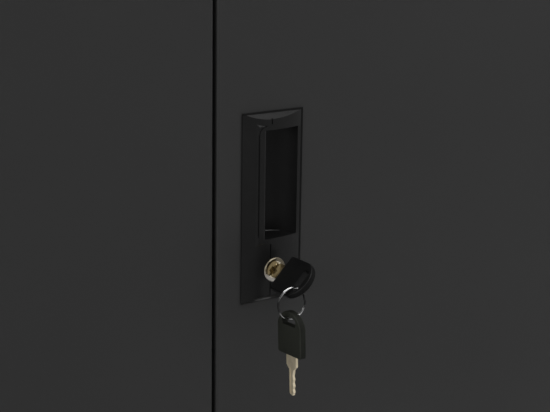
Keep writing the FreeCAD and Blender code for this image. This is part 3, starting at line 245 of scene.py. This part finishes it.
def platePaintedLight(finish, wearAndPaintedLight, dull):  # painted shade: black lines along the top, right and bottom edges and a darker groove, far facet and recess; painted highlight: a pale hem and recess foot; the lips and recess are also more matt
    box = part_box("pull_plate")
    halfWidth = reach(box, 0)
    halfHeight = reach(box, 2)
    across = finish.axis("X") - middle(box, 0)
    upward = finish.axis("Z") - middle(box, 2)
    edge = plate["edge"]
    # painted shade: black lines along the plate's right edge (lip), top edge (brow) and bottom edge (sill)
    lip = finish.band(across, halfWidth - plate["lipWidth"], edge)
    brow = finish.band(upward, halfHeight - plate["browHeight"], edge)
    sill = 1 - finish.band(upward, plate["sillHeight"] - halfHeight, edge)
    # painted highlight: a pale hem along the bottom bevel, paler towards its left end, and a pale recess
    # foot line that dims to the right
    hem = 1 - finish.band(upward, plate["hemHeight"] - halfHeight, plate["hemEdge"])
    hem = hem * finish.band(across, plate["hemStart"] - halfWidth, plate["hemStartEdge"])
    lean = 1 - finish.span(across, plate["hemLean"])
    fade = finish.span(across, plate["footFade"])
    areas = ("recess", "groove", "facet", "foot")
    masks = {area: finish.patch(across, upward, plate[area], plate["areaEdge"]) for area in areas}
    clear = (1 - lip) * (1 - brow)
    wearAndPaintedLight = wearAndPaintedLight * clear
    # painted shade: the recess, groove and far facet are darker
    for area, share in plate["darken"].items():
        wearAndPaintedLight = wearAndPaintedLight * (1 - masks[area] * share)
    lighten = plate["lighten"]
    # painted highlight on the hem and recess foot, painted shade on the bottom edge
    wearAndPaintedLight = (wearAndPaintedLight + hem * (lighten["hem"] + lean * lighten["hemLean"])) * (1 - sill)
    wearAndPaintedLight = wearAndPaintedLight + masks["foot"] * (lighten["foot"] + fade * lighten["footFade"])
    return wearAndPaintedLight, dull + (1 - clear) * plate["dull"]["lip"] + masks["recess"] * plate["dull"]["recess"]


bowRims = {  # metres, but shade and dull are shares; reach is how far back from the front the rim goes
    "half": 0.0019, "edge": 0.0003,
    "key": {"reach": 0.0075, "shade": 0.75, "dull": 0.45},
    "spare": {"reach": 0.03, "shade": 0.58, "dull": 0.1},
}


def bowRim(finish, wearAndPaintedLight, dull, box, fromFace, rim):  # painted shade: the rim is darker than the bow's flat faces, and it is also more matt
    side = 1 - finish.band((fromFace * fromFace) ** 0.5, bowRims["half"], bowRims["edge"])
    side = side * (1 - finish.band(finish.axis("Y"), box[0][1] + rim["reach"], bowRims["edge"]))
    return wearAndPaintedLight * (1 - side * rim["shade"]), dull + side * rim["dull"]


def keyBowShadedRim(finish, wearAndPaintedLight, dull):  # this bow is turned by an eighth
    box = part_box("key_bow")
    across = finish.axis("X") - middle(box, 0)
    upward = finish.axis("Z") - middle(box, 2)
    fromFace = (upward - across) * math.sqrt(0.5)
    return bowRim(finish, wearAndPaintedLight, dull, box, fromFace, bowRims["key"])


def spareBowShadedRim(finish, wearAndPaintedLight, dull):  # this bow hangs square to the door
    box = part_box("spare_key_bow")
    fromFace = finish.axis("X") - middle(box, 0)
    return bowRim(finish, wearAndPaintedLight, dull, box, fromFace, bowRims["spare"])


plating = {
    "cloudScale": 90, "wipeShare": 0.6, "ends": (0.3, 0.72), "leastRough": 0.8, "wipeRough": 0.4,
    "bump": 0.2, "depth": 0.00004,
}


def platedMetal(name, dark, light, rough, streaks, metal=1.0):
    finish = Finish(name)
    wipe = finish.noise(1.0, detail=3, roughness=0.6, vector=finish.stretched(streaks))
    cloud = finish.noise(plating["cloudScale"], detail=3)
    tone = finish.tone(mixed(wipe, cloud, plating["wipeShare"]), dark, light, plating["ends"])
    relief = finish.bump(wipe, plating["bump"], plating["depth"])
    rough = rough * (plating["leastRough"] + wipe * plating["wipeRough"])
    finish.surface(Base_Color=tone, Metallic=metal, Roughness=rough, Normal=relief)
    return finish.material


lockFace = {
    "silver": (0.36, 0.34, 0.31, 1), "brass": (0.14, 0.122, 0.09, 1), "thinFrom": (-0.004, 0.002),
    "cloudScale": 300, "cloudReach": 0.002, "radius": 0.0083, "rimEdge": 0.0002,
    "rough": 0.14, "rimRough": 0.3,
}


def facedNickel(name, node):  # silver below, darker and brassier above as painted shade, and a matt rim
    finish = Finish(name)
    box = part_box(node)
    sideways = finish.axis("X") - middle(box, 0)
    upward = finish.axis("Z") - middle(box, 2)
    fromCentre = (sideways * sideways + upward * upward) ** 0.5
    rim = finish.band(fromCentre, lockFace["radius"], lockFace["rimEdge"])
    cloud = finish.noise(lockFace["cloudScale"], detail=3)
    # painted shade: the face turns darker and brassier towards the top
    shadedAbove = finish.span(upward + cloud * lockFace["cloudReach"], lockFace["thinFrom"])
    tone = finish.tone(shadedAbove, lockFace["silver"], lockFace["brass"], (0.0, 1.0))
    finish.surface(Base_Color=tone, Metallic=1.0, Roughness=lockFace["rough"] + rim * lockFace["rimRough"])
    return finish.material


ringHighlight = {
    "dull": 0.026, "bright": 0.42, "polishFrom": (0.4, 0.8), "above": 0.04, "polishShare": 0.9,
    "cloudScale": 400, "ends": (0.05, 0.95), "rough": 0.1,
}


def highlightedSteel(name, node):  # painted highlight: bright above and below, dark at the sides
    finish = Finish(name)
    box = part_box(node)
    upward = (finish.axis("Z") - middle(box, 2)) * (1 / reach(box, 2)) - ringHighlight["above"]
    highlight = finish.span((upward * upward) ** 0.5, ringHighlight["polishFrom"])
    shine = mixed(highlight, finish.noise(ringHighlight["cloudScale"]), ringHighlight["polishShare"])
    tone = finish.tone(shine, grey(ringHighlight["dull"]), grey(ringHighlight["bright"]), ringHighlight["ends"])
    finish.surface(Base_Color=tone, Metallic=1.0, Roughness=ringHighlight["rough"])
    return finish.material


soft = {"cloudScale": 140, "cloudRough": 0.1, "grainScale": 1800, "bump": 0.2, "depth": 0.00008}


def softPlastic(name, dark, light, rough):
    finish = Finish(name)
    cloud = finish.noise(soft["cloudScale"], detail=4)
    grain = finish.noise(soft["grainScale"])
    tone = finish.tone(cloud, dark, light)
    relief = finish.bump(grain, soft["bump"], soft["depth"])
    finish.surface(Base_Color=tone, Roughness=rough + cloud * soft["cloudRough"], Normal=relief)
    return finish.material


mouldedLooks = {
    "pullPlatePlastic": {"rough": 0.24, "skin": platePaintedLight},
    "keyBowPlastic": {"rough": 0.26, "lift": 0.95, "skin": keyBowShadedRim},
    # lift makes this bow lighter as painted light from the left; its warm green tint is its own colour
    "spareBowPlastic": {"rough": 0.42, "lift": 3.4, "gloss": 0.05, "warm": 0.065, "green": 0.13,
                        "skin": spareBowShadedRim},
}
softLooks = {
    "guidePlastic": {"dark": grey(0.012), "light": grey(0.018), "rough": 0.45},
    "footPlastic": {"dark": grey(0.015), "light": grey(0.022), "rough": 0.5},
    "bushNylon": {"dark": grey(0.62, 0.03), "light": grey(0.7, 0.03), "rough": 0.4},
    "bufferRubber": {"dark": grey(0.012), "light": grey(0.02), "rough": 0.75},
}
platedLooks = {
    "zincPlate": {"dark": grey(0.42, -0.02), "light": grey(0.56, 0.01), "rough": 0.36,
                  "streaks": (260, 260, 40)},
    "plugNickel": {"dark": (0.48, 0.43, 0.33, 1), "light": (0.68, 0.63, 0.51, 1), "rough": 0.16,
                   "streaks": (700, 200, 700)},
    # painted shade: darker than the spare key's brass, for the shade on the blade in the lock
    "lockedKeyBrass": {"dark": (0.36, 0.3, 0.18, 1), "light": (0.52, 0.44, 0.29, 1), "rough": 0.24,
                       "streaks": (300, 1200, 1200)},
    "spareKeyBrass": {"dark": (0.5, 0.43, 0.3, 1), "light": (0.68, 0.6, 0.45, 1), "rough": 0.55,
                      "streaks": (1200, 300, 300), "metal": 0.7},
}
finishes = {"anthracitePowder": powderCoat("anthracitePowder"),
            "ringSteel": highlightedSteel("ringSteel", "key_ring"),
            "lockFaceNickel": facedNickel("lockFaceNickel", "lock_housing")}
for make, looks in ((mouldedPlastic, mouldedLooks), (softPlastic, softLooks), (platedMetal, platedLooks)):
    for name, values in looks.items():
        finishes[name] = make(name, **values)
print("finishes made:", len(finishes))

coatedEndings = ("panel", "stiffener", "shelf", "upright", "stops")
finishOf = {
    "anthracitePowder": [name for name in nodes if name.endswith(coatedEndings)],
    "zincPlate": ["back_panel_screws", "lower_shelf_clips", "middle_shelf_clips", "upper_shelf_clips",
                  "hinge_pins", "pull_plate_screws", "lock_nut", "lock_cam", "cam_screw",
                  "upper_lock_rod", "lower_lock_rod", "upper_slide_bolt", "lower_slide_bolt"],
    "pullPlatePlastic": ["pull_plate"],
    "keyBowPlastic": ["key_bow"],
    "spareBowPlastic": ["spare_key_bow"],
    "guidePlastic": ["upper_rod_guides", "lower_rod_guides", "upper_bolt_housing", "lower_bolt_housing"],
    "footPlastic": ["foot_glides"],
    "bushNylon": ["left_door_bushes", "right_door_bushes"],
    "bufferRubber": ["door_buffers"],
    "ringSteel": ["key_ring"],
    "lockFaceNickel": ["lock_housing"],
    "plugNickel": ["lock_plug"],
    "lockedKeyBrass": ["key_blade"],
    "spareKeyBrass": ["spare_key_blade"],
}
for finish, names in finishOf.items():
    for name in names:
        nodes[name].data.materials.clear()
        nodes[name].data.materials.append(finishes[finish])
bare = set(nodes) - {name for names in finishOf.values() for name in names}
print("finishes given; nodes left bare:", sorted(bare))


def deselectAll():
    bpy.ops.object.select_all(action="DESELECT")


def editing(on):
    bpy.ops.object.mode_set(mode="EDIT" if on else "OBJECT")


def apply(piece, kind, **settings):
    modifier = piece.modifiers.new(kind.lower(), kind)
    for name, value in settings.items():
        setattr(modifier, name, value)
    bpy.ops.object.modifier_apply(modifier=modifier.name)


coil = {
    "radial": 0.00056, "axial": 0.00044, "pitch": 0.0009, "turns": 2, "steps": 96, "sides": 12,
    "smooth": 40,
}


def splitRing():  # a flat wire wound twice, inside the CAD ring's place
    low, high = (Vector(corner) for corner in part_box("key_ring"))
    centre = (low + high) / 2
    radius = (high.x - low.x) / 2 - (high.y - low.y) / 2
    rise = coil["pitch"] * coil["turns"]
    steps = coil["steps"] * coil["turns"]
    deselectAll()
    bpy.ops.mesh.primitive_circle_add(vertices=coil["sides"], radius=1, location=(0, 0, 0))
    ring = bpy.context.object
    ring.name = "splitRing"
    editing(True)
    bpy.ops.mesh.select_all(action="SELECT")
    bpy.ops.transform.resize(value=(coil["radial"], coil["axial"], 1), center_override=(0, 0, 0))
    bpy.ops.transform.translate(value=(radius, -rise / 2, 0))
    editing(False)
    apply(ring, "SCREW", axis="Y", angle=math.tau * coil["turns"], screw_offset=rise, steps=steps,
          render_steps=steps, use_merge_vertices=False)
    editing(True)
    bpy.ops.mesh.select_all(action="SELECT")
    bpy.ops.mesh.fill_holes(sides=coil["sides"])
    bpy.ops.mesh.normals_make_consistent(inside=False)
    bpy.ops.transform.translate(value=centre)
    editing(False)
    bpy.ops.object.shade_smooth_by_angle(angle=math.radians(coil["smooth"]))
    ring.data.materials.append(finishes["ringSteel"])
    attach(ring, "ring")
    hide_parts("key_ring")


splitRing()
print("pieces made")

stage = {
    "floorSize": 14.0, "floorDark": 0.82, "floorLight": 0.86, "floorRough": 0.7, "cloudScale": 3,
    "floorFade": (2.0, 4.8), "worldLight": 0.22, "worldSeen": 0.85, "zenithSeen": 0.3,
    "worldFade": (0.2, 0.8),
}


def paleFloor():  # near the object it takes light and shadow, far off it fades into the pale background
    deselectAll()
    bpy.ops.mesh.primitive_plane_add(size=stage["floorSize"], location=(0, 0, 0))
    floor = bpy.context.object
    floor.name = "paleFloor"
    finish = Finish("paleFloorPaint")
    cloud = finish.noise(stage["cloudScale"], detail=3)
    tone = finish.tone(cloud, grey(stage["floorDark"]), grey(stage["floorLight"]))
    finish.surface(Base_Color=tone, Roughness=stage["floorRough"])
    across = finish.axis("X")
    along = finish.axis("Y")
    faded = finish.span((across * across + along * along) ** 0.5, stage["floorFade"])
    glow = finish.put("Emission", sockets={"Color": grey(1.0), "Strength": stage["worldSeen"]})
    paint = Wire(finish.tree, finish.shader.outputs[0])
    finish.blend(faded * finish.seen(), paint, glow, "Material Output")
    floor.data.materials.append(finish.material)


def softWorld():  # lights the object softly, and looks pale to the eye, to metal and to glass
    world = bpy.data.worlds.new("studioWorld")
    bpy.context.scene.world = world
    world.use_nodes = True
    board = Board(world.node_tree)
    light = board.put("Background", sockets={"Color": grey(1.0), "Strength": stage["worldLight"]})
    sky = board.put("TexCoord", output="Generated")
    rise = board.put("SeparateXYZ", sockets={"Vector": sky}, output="Z")
    start, end = stage["worldFade"]
    fade = board.put("MapRange", sockets={"Value": rise, "From Min": start, "From Max": end,
                                          "To Min": stage["worldSeen"], "To Max": stage["zenithSeen"]})
    pale = board.put("Background", sockets={"Color": grey(1.0), "Strength": fade})
    board.blend(board.seen(), light, pale, "World Output")


lamps = {
    "overheadSoftbox": {"at": (0.35, -1.1, 2.7), "aim": (0.2, -0.5, 0.5), "size": (2.2, 1.2), "power": 39},
    "leftSoftbox": {"at": (-2.4, -1.3, 1.5), "aim": (0.05, -0.2, 0.75), "size": (1.4, 1.4), "power": 27},
    "rightFill": {"at": (2.8, -1.6, 1.8), "aim": (0.0, -0.2, 0.7), "size": (1.6, 1.6), "power": 8},
    "backSoftbox": {"at": (0.5, 2.4, 2.4), "aim": (0.0, 0.3, 0.6), "size": (2.2, 1.6), "power": 45},
    "rightBackFill": {"at": (2.6, 1.4, 1.8), "aim": (0.3, 0.2, 0.7), "size": (1.6, 1.6), "power": 18},
}


def softLamps():
    for name, values in lamps.items():
        data = bpy.data.lights.new(name, "AREA")
        data.shape = "RECTANGLE"
        data.size, data.size_y = values["size"]
        data.energy = values["power"]
        lamp = bpy.data.objects.new(name, data)
        bpy.context.scene.collection.objects.link(lamp)
        lamp.location = values["at"]
        lamp.rotation_euler = (Vector(values["aim"]) - lamp.location).to_track_quat("-Z", "Y").to_euler()


shot = {
    "aim": (0.0499, -0.2, 0.7196), "distance": 1.0, "yaw": 34.1, "pitch": 15.0, "roll": 0.83,
    "lens": 92.16, "sensor": 36, "nearest": 0.01,
}


def photoCamera():
    yaw = math.radians(shot["yaw"])
    pitch = math.radians(shot["pitch"])
    roll = math.radians(shot["roll"])
    ahead = Vector((math.sin(yaw) * math.cos(pitch), math.cos(yaw) * math.cos(pitch), -math.sin(pitch)))
    level = Vector((math.cos(yaw), -math.sin(yaw), 0))
    upright = level.cross(ahead)
    right = level * math.cos(roll) + upright * math.sin(roll)
    up = right.cross(ahead)
    data = bpy.data.cameras.new("photoCamera")
    data.lens = shot["lens"]
    data.sensor_width = shot["sensor"]
    data.clip_start = shot["nearest"]
    camera = bpy.data.objects.new("photoCamera", data)
    bpy.context.scene.collection.objects.link(camera)
    turn = Matrix((right, up, -ahead)).transposed().to_4x4()
    camera.matrix_world = Matrix.Translation(Vector(shot["aim"]) - ahead * shot["distance"]) @ turn
    bpy.context.scene.camera = camera


paleFloor()
softWorld()
softLamps()
photoCamera()
bpy.context.scene.view_settings.view_transform = "Standard"
print("stage set")
